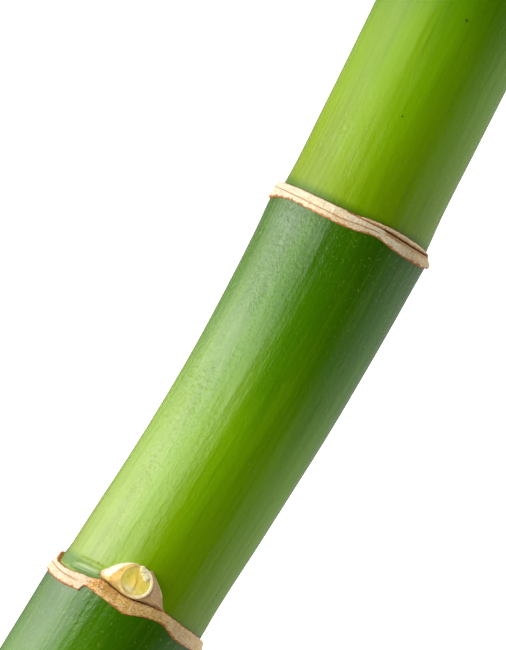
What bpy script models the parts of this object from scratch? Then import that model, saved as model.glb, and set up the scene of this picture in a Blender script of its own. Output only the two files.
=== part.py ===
"""A cut length of green bamboo cane, lying on its side.

The cane lies along +X, with its growing end at +X and the branch stub of its lower node on top.
It rests on the two sheath collars, whose undersides are worn flat at z = 0.
Shapes are first made round a straight axis, where a point has a distance along the cane,
a distance across it (towards -Y) and a height above its axis. Then they are laid on the cane's bent line.
"""

import math

import bmesh
import bpy
from mathutils import Vector

MM = 0.001

# The culm
INTERNODE = 110.6 * MM
LOWER_NODE = 0.0
UPPER_NODE = LOWER_NODE + INTERNODE
LOWER_CUT = -34.0 * MM
UPPER_CUT = 186.0 * MM
FLATTENING = 0.975
CUT_CHAMFER = 0.4 * MM
SEGMENTS = 60

# Outer radius of the culm at distances above a node: its two lower internodes, and its upper one
INTERNODE_RADIUS = (
    (0 * MM, 20.35 * MM),
    (5 * MM, 20.0 * MM),
    (10 * MM, 19.86 * MM),
    (20 * MM, 19.8 * MM),
    (40 * MM, 19.84 * MM),
    (60 * MM, 20.05 * MM),
    (80 * MM, 20.43 * MM),
    (100 * MM, 20.88 * MM),
    (106 * MM, 21.08 * MM),
    (110.6 * MM, 21.2 * MM),
)
UPPER_INTERNODE_RADIUS = (
    (0 * MM, 19.85 * MM),
    (4.4 * MM, 19.65 * MM),
    (9.4 * MM, 19.43 * MM),
    (15 * MM, 19.36 * MM),
    (40 * MM, 19.6 * MM),
    (75.4 * MM, 20.1 * MM),
)

# The hollow inside it
HOLLOW_RADIUS = 14.6 * MM
DIAPHRAGM_HALF = 1.6 * MM
DRYING_HOLE_RADIUS = 1.0 * MM

# The seat of a sheath collar, and the collar on it
SEAT_RADIUS = 19.3 * MM
COLLAR_HALF = 2.0 * MM
CLEARANCE = 0.3 * MM
SEAT_HALF = COLLAR_HALF + CLEARANCE + 0.1 * MM
WAVE_REACH = 14.0 * MM
COLLAR_RADIUS = 21.65 * MM
FLAT_DEPTH = 0.3 * MM
AXIS_HEIGHT = COLLAR_RADIUS * FLATTENING - FLAT_DEPTH

# Outer surface of a collar: share of its half width from the lower edge (-1) to the upper edge (1),
# and depth below COLLAR_RADIUS. The point at SLIT_SHARE is the bottom of the slit between two layers,
# which fades out at both its ends over SLIT_FADE degrees.
COLLAR_SECTION = (
    (-1.0, 0.75 * MM),
    (-0.85, 0.25 * MM),
    (-0.5, 0.0 * MM),
    (-0.1, 0.22 * MM),
    (0.25, 0.06 * MM),
    (0.42, 0.12 * MM),
    (0.5, 0.16 * MM),
    (0.58, 0.2 * MM),
    (0.85, 0.4 * MM),
    (1.0, 0.9 * MM),
)
SLIT_SHARE = 0.5
SLIT_FADE = 7.0

# The underside of a collar, worn smooth: degrees from straight down, and the last share of it that wears
WORN_FROM = 28
WORN_TO = 42
WORN_SHARE = 0.9

# Sideways run of the cane's axis, towards -Y, at distances along it
BEND = (
    (-34 * MM, -1.4 * MM),
    (-10 * MM, -0.6 * MM),
    (0 * MM, 0.0 * MM),
    (5 * MM, 0.33 * MM),
    (10 * MM, 0.43 * MM),
    (20 * MM, 0.75 * MM),
    (30 * MM, 1.17 * MM),
    (45 * MM, 1.6 * MM),
    (60 * MM, 1.72 * MM),
    (75 * MM, 1.52 * MM),
    (90 * MM, 1.04 * MM),
    (105 * MM, 0.22 * MM),
    (115 * MM, -0.36 * MM),
    (130 * MM, -1.52 * MM),
    (150 * MM, -2.94 * MM),
    (186 * MM, -5.6 * MM),
)

# Edges of each collar: angle round the cane in degrees, from the top towards -Y, and distance from the node
LOWER_COLLAR_LOW = (
    (-87, -3.6 * MM),
    (-71, -4.05 * MM),
    (-54, -4.35 * MM),
    (-42, -3.9 * MM),
    (-36, -3.5 * MM),
    (-30, -1.6 * MM),
    (-22, -1.56 * MM),
    (-9, -1.75 * MM),
    (1, -1.9 * MM),
    (6, -1.2 * MM),
    (16, 0.47 * MM),
    (24, 1.25 * MM),
    (30, 1.15 * MM),
    (39, 0.1 * MM),
    (48, -0.28 * MM),
    (62, -0.22 * MM),
    (90, -0.4 * MM),
    (135, -1.7 * MM),
    (180, -2.2 * MM),
    (230, -2.6 * MM),
)
LOWER_COLLAR_HIGH = (
    (-96, 2.2 * MM),
    (-90, 1.6 * MM),
    (-84, 0.2 * MM),
    (-72, -0.55 * MM),
    (-59, -0.64 * MM),
    (-49, -0.25 * MM),
    (-36, 0.65 * MM),
    (-28, 1.4 * MM),
    (-22, 1.9 * MM),
    (-6, 1.68 * MM),
    (2, 2.15 * MM),
    (10, 2.9 * MM),
    (20, 3.6 * MM),
    (29, 3.9 * MM),
    (39, 3.75 * MM),
    (50, 3.6 * MM),
    (68, 3.5 * MM),
    (90, 3.0 * MM),
    (135, 2.0 * MM),
    (180, 1.7 * MM),
    (230, 2.2 * MM),
)
UPPER_COLLAR_LOW = (
    (-92, -3.8 * MM),
    (-84, -3.8 * MM),
    (-76, -3.4 * MM),
    (-65, -2.78 * MM),
    (-49, -2.08 * MM),
    (-27, -2.07 * MM),
    (-10, -1.95 * MM),
    (0, -1.65 * MM),
    (10, -0.95 * MM),
    (19, -0.55 * MM),
    (32, -1.28 * MM),
    (42, -1.7 * MM),
    (67, -1.86 * MM),
    (82, -1.5 * MM),
    (100, -1.4 * MM),
    (140, -2.0 * MM),
    (180, -1.9 * MM),
    (225, -2.3 * MM),
)
UPPER_COLLAR_HIGH = (
    (-85, 1.15 * MM),
    (-65, 1.37 * MM),
    (-37, 1.78 * MM),
    (-18, 1.96 * MM),
    (-2, 2.14 * MM),
    (8, 2.66 * MM),
    (15, 2.94 * MM),
    (26, 3.16 * MM),
    (38, 3.04 * MM),
    (48, 2.78 * MM),
    (62, 2.43 * MM),
    (77, 2.08 * MM),
    (110, 1.6 * MM),
    (140, 2.1 * MM),
    (180, 1.9 * MM),
    (225, 1.9 * MM),
)
# How far each collar swells on its +Y and -Y sides, and how far its upper edge sinks there
LOWER_SIDES = ((0.0 * MM, 0.45 * MM), (0.9 * MM, 0.8 * MM))
UPPER_SIDES = ((-0.2 * MM, 0.18 * MM), (0.6 * MM, 1.0 * MM))
# Where the sinking comes in and goes again, in degrees from the top, and the shares between which it grows
SINKS_FROM = (40, 75)
SINKS_TO = (110, 145)
SINKING_SHARES = (-0.5, 0.6)
# Slit or crease of each collar: where it starts and ends round the cane, in degrees, and its depth
LOWER_SLIT = (-78, -30, 0.35 * MM)
UPPER_SLIT = (8, 80, 0.8 * MM)

# The bud scale and the branch stub, at the lower node
BUD_ALONG = 6.65 * MM
BUD_ACROSS = -1.0 * MM
BUD_HEIGHT = 4.3 * MM
RIM_ALONG = 4.1 * MM
RIM_ACROSS = 4.1 * MM
STUB_RADIUS = 2.8 * MM
STUB_RIM = 0.35 * MM
STUB_DISH = 0.5 * MM
STUB_SEGMENTS = 32
SCALE_POINTS = 44
SCALE_LEVELS = 4
SCALE_ROOT = 1.6 * MM
# How hollow the scale's flanks are: the power of their curve, which is 1 for straight ones
SCALE_HOLLOW = 1.2
# Foot of the scale on the culm: distance across, and distance along from the node
SCALE_FOOT = (
    (8.8 * MM, 4.3 * MM),
    (7.4 * MM, 5.7 * MM),
    (5.6 * MM, 7.6 * MM),
    (3.3 * MM, 9.35 * MM),
    (1.0 * MM, 10.55 * MM),
    (-1.5 * MM, 10.9 * MM),
    (-3.9 * MM, 10.35 * MM),
    (-6.1 * MM, 9.05 * MM),
    (-8.0 * MM, 7.2 * MM),
    (-9.5 * MM, 5.0 * MM),
    (-9.9 * MM, 3.5 * MM),
    (-8.6 * MM, 2.6 * MM),
    (-5.5 * MM, 2.4 * MM),
    (-2.2 * MM, 2.25 * MM),
    (0.4 * MM, 2.55 * MM),
    (3.0 * MM, 3.35 * MM),
    (6.2 * MM, 4.0 * MM),
)


def curve_through(knots, x):
    """Value at x of the smooth curve through the knots, a sorted list of (x, value)."""
    last = len(knots) - 1
    i = max(1, min(last, next((k for k, knot in enumerate(knots) if knot[0] > x), last)))
    (x0, y0), (x1, y1) = knots[i - 1], knots[i]
    before = knots[max(i - 2, 0)]
    after = knots[min(i + 1, last)]
    slope0 = (y1 - before[1]) / (x1 - before[0])
    slope1 = (after[1] - y0) / (after[0] - x0)
    t = (x - x0) / (x1 - x0)
    width = x1 - x0
    return (
        y0 * (2 * t**3 - 3 * t**2 + 1)
        + slope0 * width * (t**3 - 2 * t**2 + t)
        + y1 * (3 * t**2 - 2 * t**3)
        + slope1 * width * (t**3 - t**2)
    )


def round_the_cane(knots, angle):
    """Value at an angle, in radians, of the closed smooth curve through (degrees, value) knots."""
    turns = [(a + 360 * k, value) for k in (-1, 0, 1) for a, value in knots]
    return curve_through(turns, (math.degrees(angle) + 180) % 360 - 180)


def smooth_step(low, high, x):
    t = max(0.0, min(1.0, (x - low) / (high - low)))
    return t * t * (3 - 2 * t)


def culm_radius(along):
    """Outer radius of the bare culm."""
    if along < LOWER_NODE:
        return curve_through(INTERNODE_RADIUS, along - LOWER_NODE + INTERNODE)
    if along < UPPER_NODE:
        return curve_through(INTERNODE_RADIUS, along - LOWER_NODE)
    return curve_through(UPPER_INTERNODE_RADIUS, along - UPPER_NODE)


def waved(along, angle, node, low_knots, high_knots):
    """Moves a level line near a node so that a collar of even width gets its wavy edges."""
    offset = along - node
    if abs(offset) > WAVE_REACH:
        return along
    low = round_the_cane(low_knots, angle)
    high = round_the_cane(high_knots, angle)
    if abs(offset) <= COLLAR_HALF:
        return node + (low + high) / 2 + offset / COLLAR_HALF * (high - low) / 2
    fade = 1 - smooth_step(COLLAR_HALF, WAVE_REACH, abs(offset))
    shift = high - COLLAR_HALF if offset > 0 else low + COLLAR_HALF
    return along + fade * shift


def laid(along, across, up):
    """The place of a point of the straight cane once it lies, bent as it grew, on its collars."""
    step = 0.5 * MM
    side = curve_through(BEND, along)
    turn = math.atan2(curve_through(BEND, along + step) - side, step)
    return Vector((
        along - across * math.sin(turn),
        -side - across * math.cos(turn),
        AXIS_HEIGHT + up * FLATTENING,
    ))


def round_place(point):
    """Angle and radius of a point turned about +Z. The angle is 0 on top of the cane and grows towards -Y."""
    return math.atan2(-point.x, point.y), math.hypot(point.x, point.y)


def laid_turned(point):
    """A vertex turned about +Z, as the laid cane has it: both nodes' waves, then the bend."""
    angle, radius = round_place(point)
    along = waved(point.z, angle, LOWER_NODE, LOWER_COLLAR_LOW, LOWER_COLLAR_HIGH)
    along = waved(along, angle, UPPER_NODE, UPPER_COLLAR_LOW, UPPER_COLLAR_HIGH)
    return laid(along, radius * math.sin(angle), radius * math.cos(angle))


def add_object(name, mesh, collection):
    obj = bpy.data.objects.new(name, mesh)
    collection.objects.link(obj)
    return obj


def turned(name, profile, collection, closed=True, segments=SEGMENTS):
    """A solid turned about +Z from (radius, along) points that run down its outer side."""
    mesh = bpy.data.meshes.new(name + "_profile")
    edges = [(i, i + 1) for i in range(len(profile) - 1)]
    if closed:
        edges.append((len(profile) - 1, 0))
    mesh.from_pydata([(radius, 0, along) for radius, along in profile], edges, [])
    guide = add_object(name + "_guide", mesh, collection)
    screw = guide.modifiers.new("Turn", "SCREW")
    screw.axis = "Z"
    screw.steps = screw.render_steps = segments
    screw.use_merge_vertices = True
    screw.merge_threshold = 0.02 * MM
    solid = bpy.data.meshes.new_from_object(guide.evaluated_get(bpy.context.evaluated_depsgraph_get()))
    bpy.data.objects.remove(guide)
    solid.name = name
    return add_object(name, solid, collection)


def move_vertices(obj, place):
    for vertex in obj.data.vertices:
        vertex.co = place(vertex.co)
    obj.data.update()


def outer_stations():
    """Distances along the cane where the culm's outside has a ring of points, top first."""
    near = [SEAT_HALF, 4.5 * MM, 8.5 * MM, 15.0 * MM, 27.0 * MM]
    found = {LOWER_CUT + CUT_CHAMFER, UPPER_CUT - CUT_CHAMFER}
    for node in (LOWER_NODE, UPPER_NODE):
        found |= {node + side * distance for distance in near for side in (-1, 1)}
    found |= {LOWER_NODE + INTERNODE * share for share in (0.4, 0.5, 0.6)}
    found |= {UPPER_NODE + 43 * MM, UPPER_NODE + 58 * MM}
    return sorted((s for s in found if LOWER_CUT < s < UPPER_CUT), reverse=True)


def culm_outline():
    """Outside of the culm from its upper cut down to its lower one, with a seat at each node."""
    outline = [(culm_radius(UPPER_CUT) - CUT_CHAMFER, UPPER_CUT)]
    for along in outer_stations():
        outline.append((culm_radius(along), along))
        for node in (LOWER_NODE, UPPER_NODE):
            if abs(along - node - SEAT_HALF) < 0.01 * MM:
                outline.append((SEAT_RADIUS, along))
                outline.append((SEAT_RADIUS, node))
                outline.append((SEAT_RADIUS, node - SEAT_HALF))
    outline.append((culm_radius(LOWER_CUT) - CUT_CHAMFER, LOWER_CUT))
    return outline


def hollow_end(face, direction):
    """Inside of the culm from a diaphragm's face out to where the wall has its even thickness."""
    shape = ((DRYING_HOLE_RADIUS, 0.0), (8.5 * MM, 0.2 * MM), (12.4 * MM, 1.8 * MM), (14.0 * MM, 5.0 * MM))
    return [(radius, face + direction * depth) for radius, depth in shape]


def hollow_outline():
    """Inside of the culm from its lower cut up to its upper one, through both diaphragms."""
    outline = [(HOLLOW_RADIUS, LOWER_CUT)]
    outline += reversed(hollow_end(LOWER_NODE - DIAPHRAGM_HALF, -1))
    outline += hollow_end(LOWER_NODE + DIAPHRAGM_HALF, 1)
    outline += [(HOLLOW_RADIUS, LOWER_NODE + INTERNODE * share) for share in (0.2, 0.5, 0.8)]
    outline += reversed(hollow_end(UPPER_NODE - DIAPHRAGM_HALF, -1))
    outline += hollow_end(UPPER_NODE + DIAPHRAGM_HALF, 1)
    outline.append((HOLLOW_RADIUS, UPPER_NODE + 35 * MM))
    outline.append((HOLLOW_RADIUS, UPPER_CUT))
    return outline


def make_culm(collection):
    culm = turned("culm", culm_outline() + hollow_outline(), collection)
    move_vertices(culm, laid_turned)
    return culm


def collar_outline(node):
    inner = SEAT_RADIUS + CLEARANCE
    outer = [(COLLAR_RADIUS - depth, node + share * COLLAR_HALF) for share, depth in reversed(COLLAR_SECTION)]
    return outer + [(inner, node - COLLAR_HALF), (inner, node), (inner, node + COLLAR_HALF)]


def slit_depth(angle, slit):
    """Depth of a collar's slit, which fades out at both its ends."""
    start, end, depth = slit
    degrees = math.degrees(angle)
    started = smooth_step(start, start + SLIT_FADE, degrees)
    ended = smooth_step(end - SLIT_FADE, end, degrees)
    return depth * started * (1 - ended)


def worn(angle):
    """1 on the underside of a collar, where it is worn smooth, and 0 elsewhere."""
    return 1 - smooth_step(WORN_FROM, WORN_TO, 180 - abs(math.degrees(angle)))


def beside(angle):
    """1 at the sides of a collar, and 0 on its top and underside."""
    degrees = abs(math.degrees(angle))
    return smooth_step(*SINKS_FROM, degrees) * (1 - smooth_step(*SINKS_TO, degrees))


def make_collar(name, node, slit, sides, collection):
    """The base of the fallen sheath, which wraps the node: two ridges and the slit of its overlap."""
    collar = turned(name, collar_outline(node), collection)
    swelling, sinking = sides

    def place(point):
        angle, radius = round_place(point)
        share = (point.z - node) / COLLAR_HALF
        side = 0 if angle < 0 else 1
        if radius > SEAT_RADIUS + 2 * CLEARANCE:
            if abs(share - SLIT_SHARE) < 0.01:
                radius -= slit_depth(angle, slit)
            radius -= sinking[side] * beside(angle) * smooth_step(*SINKING_SHARES, share)
            radius += swelling[side] * math.sin(angle) ** 2
            if abs(share) < WORN_SHARE:
                radius += (COLLAR_RADIUS - radius) * worn(angle)
            radius = max(radius, SEAT_RADIUS + 2 * CLEARANCE)
        spot = laid_turned(Vector((-radius * math.sin(angle), radius * math.cos(angle), point.z)))
        spot.z = max(spot.z, 0.0)
        return spot

    move_vertices(collar, place)
    return collar


def make_culm_cutter(collection):
    """The culm's outer form near the bud, grown by the clearance, which cuts the seat of what stands on it."""
    low = LOWER_NODE - 20 * MM
    high = LOWER_NODE + 30 * MM
    steps = 50
    stations = [high + (low - high) * i / steps for i in range(steps + 1)]
    profile = [(0, high)] + [(culm_radius(max(s, LOWER_NODE)) + CLEARANCE, s) for s in stations] + [(0, low)]
    cutter = turned("culm_cutter", profile, collection, closed=False)
    move_vertices(cutter, lambda point: laid(point.z, -point.x, point.y))
    cutter.hide_render = True
    cutter.display_type = "WIRE"
    return cutter


def move_to(obj, collection):
    for other in list(obj.users_collection):
        other.objects.unlink(obj)
    collection.objects.link(obj)


def cut(obj, cutter):
    boolean = obj.modifiers.new("Cut by " + cutter.name, "BOOLEAN")
    boolean.operation = "DIFFERENCE"
    boolean.object = cutter


def closed_curve(points, count):
    """Evenly numbered points on the closed smooth curve through the given points."""
    wrapped = points[-2:] + points + points[:3]
    across = [(i - 2, point[0]) for i, point in enumerate(wrapped)]
    along = [(i - 2, point[1]) for i, point in enumerate(wrapped)]
    places = [i * len(points) / count for i in range(count)]
    return [(curve_through(across, place), curve_through(along, place)) for place in places]


def make_bore_cutter(collection):
    """The hole through the bud scale that the branch stub stands in."""
    bpy.ops.mesh.primitive_cylinder_add(vertices=STUB_SEGMENTS, radius=STUB_RADIUS + CLEARANCE, depth=24 * MM)
    cutter = bpy.context.object
    cutter.name = "stub_bore_cutter"
    cutter.location = laid(BUD_ALONG, BUD_ACROSS, culm_radius(BUD_ALONG) / FLATTENING)
    cutter.hide_render = True
    cutter.display_type = "WIRE"
    move_to(cutter, collection)
    return cutter


def make_bud_scale(collection, cutters, culm_cutter):
    """The pointed scale: a loft from its foot on the culm up to the rim where the branch was cut."""
    foot = closed_curve(list(SCALE_FOOT), SCALE_POINTS)
    rings = []
    for level in range(-1, SCALE_LEVELS + 1):
        share = max(level, 0) / SCALE_LEVELS
        ring = []
        for across, along in foot:
            angle = math.atan2(along - BUD_ALONG, across - BUD_ACROSS)
            rim_across = BUD_ACROSS + RIM_ACROSS * math.cos(angle)
            rim_along = BUD_ALONG + RIM_ALONG * math.sin(angle)
            x = across + (rim_across - across) * share
            y = along + (rim_along - along) * share
            surface = math.sqrt(culm_radius(y) ** 2 - x**2)
            top = culm_radius(BUD_ALONG) + BUD_HEIGHT
            height = surface + (top - surface) * share**SCALE_HOLLOW
            if level < 0:
                height -= SCALE_ROOT
            ring.append((y, x, height))
        rings.append(ring)
    mesh = bmesh.new()
    rows = [[mesh.verts.new(laid(*point)) for point in ring] for ring in rings]
    for lower, upper in zip(rows, rows[1:]):
        for i in range(SCALE_POINTS):
            j = (i + 1) % SCALE_POINTS
            mesh.faces.new((lower[i], lower[j], upper[j], upper[i]))
    mesh.faces.new(rows[-1])
    mesh.faces.new(reversed(rows[0]))
    bmesh.ops.recalc_face_normals(mesh, faces=mesh.faces)
    data = bpy.data.meshes.new("bud_scale")
    mesh.to_mesh(data)
    mesh.free()
    scale = add_object("bud_scale", data, collection)
    cut(scale, culm_cutter)
    cut(scale, make_bore_cutter(cutters))
    return scale


def make_branch_stub(collection, culm_cutter):
    """The cut branch inside the scale: a short core with a low rim and a dished face."""
    top = BUD_HEIGHT + 0.1 * MM
    depth = 2.5 * MM
    profile = [
        (0, top - STUB_DISH),
        (STUB_RADIUS * 0.55, top - STUB_DISH * 0.85),
        (STUB_RADIUS - 2 * STUB_RIM, top - STUB_DISH * 0.3),
        (STUB_RADIUS - STUB_RIM, top),
        (STUB_RADIUS, top - 0.15 * MM),
        (STUB_RADIUS, -depth),
        (0, -depth),
    ]
    stub = turned("branch_stub", profile, collection, closed=False, segments=STUB_SEGMENTS)
    stub.location = laid(BUD_ALONG, BUD_ACROSS, culm_radius(BUD_ALONG))
    cut(stub, culm_cutter)
    return stub


def add_material(obj, name, colour, roughness):
    material = bpy.data.materials.new(name)
    material.use_nodes = True
    shader = material.node_tree.nodes["Principled BSDF"]
    shader.inputs["Base Color"].default_value = (*colour, 1)
    shader.inputs["Roughness"].default_value = roughness
    shader.inputs["Metallic"].default_value = 0.0
    obj.data.materials.clear()
    obj.data.materials.append(material)


def shade(obj):
    obj.data.shade_smooth()
    obj.data.set_sharp_from_angle(angle=math.radians(35))


def centre_on_origin(parts, cutters):
    """Moves the cane and its cutters so that the middle of the cane's base is at the origin."""
    bpy.context.view_layer.update()
    graph = bpy.context.evaluated_depsgraph_get()
    corners = []
    for obj in parts:
        evaluated = obj.evaluated_get(graph)
        corners += [evaluated.matrix_world @ vertex.co for vertex in evaluated.data.vertices]
    shift = Vector((
        -(min(c.x for c in corners) + max(c.x for c in corners)) / 2,
        -(min(c.y for c in corners) + max(c.y for c in corners)) / 2,
        -min(c.z for c in corners),
    ))
    for obj in [*parts, *cutters]:
        obj.location += shift


def main():
    for obj in list(bpy.data.objects):
        bpy.data.objects.remove(obj)
    cane = bpy.data.collections.new("bamboo_cane")
    cutters = bpy.data.collections.new("cutters")
    bpy.context.scene.collection.children.link(cane)
    bpy.context.scene.collection.children.link(cutters)

    culm = make_culm(cane)
    lower = make_collar("sheath_collar_lower", LOWER_NODE, LOWER_SLIT, LOWER_SIDES, cane)
    upper = make_collar("sheath_collar_upper", UPPER_NODE, UPPER_SLIT, UPPER_SIDES, cane)
    culm_cutter = make_culm_cutter(cutters)
    scale = make_bud_scale(cane, cutters, culm_cutter)
    stub = make_branch_stub(cane, culm_cutter)

    add_material(culm, "culm_green", (0.2, 0.36, 0.04), 0.32)
    add_material(lower, "sheath_tan", (0.62, 0.45, 0.27), 0.75)
    add_material(upper, "sheath_cream", (0.72, 0.57, 0.38), 0.75)
    add_material(scale, "scale_tan", (0.64, 0.42, 0.2), 0.6)
    add_material(stub, "branch_core", (0.6, 0.55, 0.15), 0.5)

    parts = (culm, lower, upper, scale, stub)
    for obj in parts:
        shade(obj)
    centre_on_origin(parts, cutters.objects)


main()
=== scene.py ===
"""The looks of a cut length of green bamboo cane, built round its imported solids.

The cane lies along +X, its growing end at +X and the branch stub of its lower node on top.
Shapes are first made round a straight axis, where a point has a distance along the cane,
a distance across it (towards -Y) and a height above its axis. Then they are laid on the cane's bent line.
Angles round the cane are in degrees, 0 on top and growing towards -Y.
"""

import math

import bpy
import numpy as np
from mathutils import Matrix, Vector


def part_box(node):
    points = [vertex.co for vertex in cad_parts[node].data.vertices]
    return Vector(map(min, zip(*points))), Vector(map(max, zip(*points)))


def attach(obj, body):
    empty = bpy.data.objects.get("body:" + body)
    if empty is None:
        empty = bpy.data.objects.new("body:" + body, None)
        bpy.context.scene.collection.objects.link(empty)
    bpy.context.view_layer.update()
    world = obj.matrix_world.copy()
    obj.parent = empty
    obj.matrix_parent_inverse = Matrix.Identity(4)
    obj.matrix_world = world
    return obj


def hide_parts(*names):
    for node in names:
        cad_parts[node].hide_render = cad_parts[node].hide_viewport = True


MM = 0.001

# The culm
INTERNODE = 110.6 * MM
LOWER_NODE = 0.0
UPPER_NODE = LOWER_NODE + INTERNODE
LOWER_CUT = -34.0 * MM
UPPER_CUT = 186.0 * MM
FLATTENING = 0.975
CULM_COLUMNS = 264
# The skin's rows: up to so many mm outside a collar, they lie so many mm apart, and further off FAR_STEP
ROW_STEPS = ((2.4, 0.3), (8.0, 0.45), (16.0, 0.8))
FAR_STEP = 1.3 * MM

# Outer radius of the culm at distances above a node, in mm: its two lower internodes, and its upper one
INTERNODE_RADIUS = (
    (0, 20.35), (5, 20.0), (10, 19.86), (20, 19.79), (40, 19.84), (60, 20.05), (80, 20.43), (100, 20.9),
    (106, 21.13), (110.6, 21.3),
)
UPPER_INTERNODE_RADIUS = (
    (0, 19.85), (4.4, 19.65), (9.4, 19.43), (15, 19.36), (30, 19.49), (40, 19.62), (75.4, 20.1),
)

# The hollow inside it
HOLLOW_RADIUS = 14.6 * MM
DIAPHRAGM_HALF = 1.6 * MM
DRYING_HOLE_RADIUS = 1.0 * MM
# The hollow's corner beside a diaphragm: mm from the diaphragm's face, and radius in mm
DIAPHRAGM_CORNER = (
    (0.0, DRYING_HOLE_RADIUS / MM), (0.1, 3.0), (0.2, 8.5), (1.0, 11.2), (1.8, 12.4), (3.2, 13.5),
    (5.0, 14.0), (8.0, 14.4),
)
# Rows over a cut end, as shares of the way from the skin to the hollow
CUT_SHARES = (0.08, 0.3, 0.55, 0.8, 1.0)
# Rows of the hollow's plain runs: mm over the upper node, shares of the internode, mm over the lower cut
UPPER_RUN = (70, 50, 30, 15)
MIDDLE_RUN = (0.8, 0.5, 0.2)
LOWER_RUN = (18, 9)

# The sheath collars, and how far the skin's last row lies under their edges
SKIN_TUCK = 0.3 * MM
COLLAR_HALF = 2.0 * MM
COLLAR_RADIUS = 21.65 * MM
COLLAR_INSIDE = 19.6 * MM
COLLAR_THINNEST = 0.35 * MM
COLLAR_COLUMNS = 900
WAVE_REACH = 14.0 * MM
FLAT_DEPTH = 0.3 * MM
AXIS_HEIGHT = COLLAR_RADIUS * FLATTENING - FLAT_DEPTH
UNDERSIDE_HALF_ANGLE = 28.0

# Sideways run of the cane's axis, towards -Y, at distances along it, in mm
BEND = (
    (-34, -1.4), (-10, -0.6), (0, 0.0), (5, 0.33), (10, 0.43), (20, 0.75), (30, 1.17), (45, 1.6),
    (60, 1.72), (75, 1.52), (90, 1.04), (105, 0.22), (115, -0.36), (130, -1.52), (150, -2.94),
    (186, -5.6),
)

# Lines round each collar, from its lower edge to its upper one: angle, and distance from the node in mm
LOWER_LOW = (
    (-95, -3.4), (-87, -3.7), (-71, -4.05), (-62, -4.28), (-54, -4.38), (-47, -4.22), (-40, -3.78),
    (-36, -3.6), (-34, -3.4), (-33, -2.1), (-31, -1.62), (-27, -1.48), (-22, -1.56), (-16, -1.62),
    (-9, -1.74), (-3, -1.82), (1.5, -1.92), (5, -1.36), (10, -0.46), (16, 0.47), (21, 1.06), (24, 1.28),
    (29, 1.24), (34, 0.84), (39, 0.1), (45, -0.24), (52, -0.3), (62, -0.22), (90, -0.4), (135, -1.7),
    (180, -2.2), (230, -2.6),
)
LOWER_CREASE = (
    (-90, -1.5), (-78, -1.6), (-72, -1.75), (-62, -2.05), (-47, -1.88), (-36, -1.3), (-29, -0.4),
    (-15, 0.2), (10, 1.2), (25, 2.7), (45, 1.6), (90, 1.3), (180, -0.2),
)
LOWER_HIGH = (
    (-96, 1.8), (-90, 1.25), (-86, 0.35), (-82, -0.2), (-75, -0.5), (-66, -0.6), (-59, -0.64),
    (-49, -0.25), (-38, 0.55), (-32, 0.92), (-28, 1.5), (-24, 2.1), (-19, 2.08), (-14, 2.02), (-10, 1.95),
    (-6, 1.85), (-2, 2.0), (2, 2.34), (7, 2.86), (11, 3.17), (15, 3.49), (20, 3.8), (23, 4.0), (29, 4.05),
    (39, 3.84), (50, 3.62), (68, 3.5), (90, 3.0), (135, 2.0), (180, 1.7), (230, 2.2),
)
UPPER_LOW = (
    (-92, -3.8), (-84, -3.8), (-76, -3.4), (-65, -2.78), (-56, -2.32), (-49, -2.08), (-37, -2.05),
    (-27, -2.07), (-18, -2.0), (-10, -1.95), (-1, -1.71), (7, -1.21), (14, -0.68), (19, -0.53),
    (25, -0.77), (32, -1.28), (39, -1.62), (51, -1.82), (67, -1.86), (82, -1.5), (100, -1.4), (140, -2.0),
    (180, -1.9), (225, -2.3),
)
UPPER_CREASE = (
    (-85, -0.6), (-54, -0.49), (-42, -0.45), (-31, -0.41), (-22, -0.35), (-13, -0.29), (-5, -0.14),
    (3, 0.3), (11, 0.6), (17, 0.8), (24, 0.95), (31, 0.68), (45, 0.5), (58, 0.3), (75, 0.2), (90, 0.0),
    (180, 0.0),
)
UPPER_SLIT = (
    (-85, 0.6), (-50, 1.2), (-20, 1.6), (-8, 1.82), (1, 1.96), (8, 1.97), (14, 2.0), (21, 2.02),
    (29, 1.92), (37, 1.71), (47, 1.51), (60, 1.38), (70, 1.36), (80, 1.3), (95, 1.1), (180, 1.0),
)
UPPER_HIGH = (
    (-88, 1.1), (-80, 1.2), (-65, 1.37), (-49, 1.65), (-37, 1.78), (-27, 1.84), (-18, 1.96), (-9, 2.05),
    (-2, 2.14), (2, 2.26), (8, 2.66), (15, 2.94), (22, 3.14), (30, 3.16), (38, 3.04), (48, 2.78),
    (62, 2.43), (77, 2.08), (90, 1.8), (110, 1.6), (140, 2.1), (180, 1.9), (225, 1.9),
)
# Outer surface of a collar: place across the band, from -1 to 1, and depth below COLLAR_RADIUS in mm
COLLAR_SECTION = (
    (-1.0, 0.3), (-0.93, 0.12), (-0.8, 0.04), (-0.5, 0.0), (0.0, 0.1), (0.5, 0.12), (0.8, 0.26),
    (0.93, 0.42), (1.0, 0.75),
)

# Dark spots on the skin: mm across the cane, above its axis and along it, and the radius of each
DARK_SPOTS = (
    ((2.8, 19.5, 168.0), 0.5), ((-0.8, 19.4, 139.7), 0.32), ((-11.6, 16.2, 5.45), 0.32),
    ((-13.0, 15.1, 3.6), 0.3),
)

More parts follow.
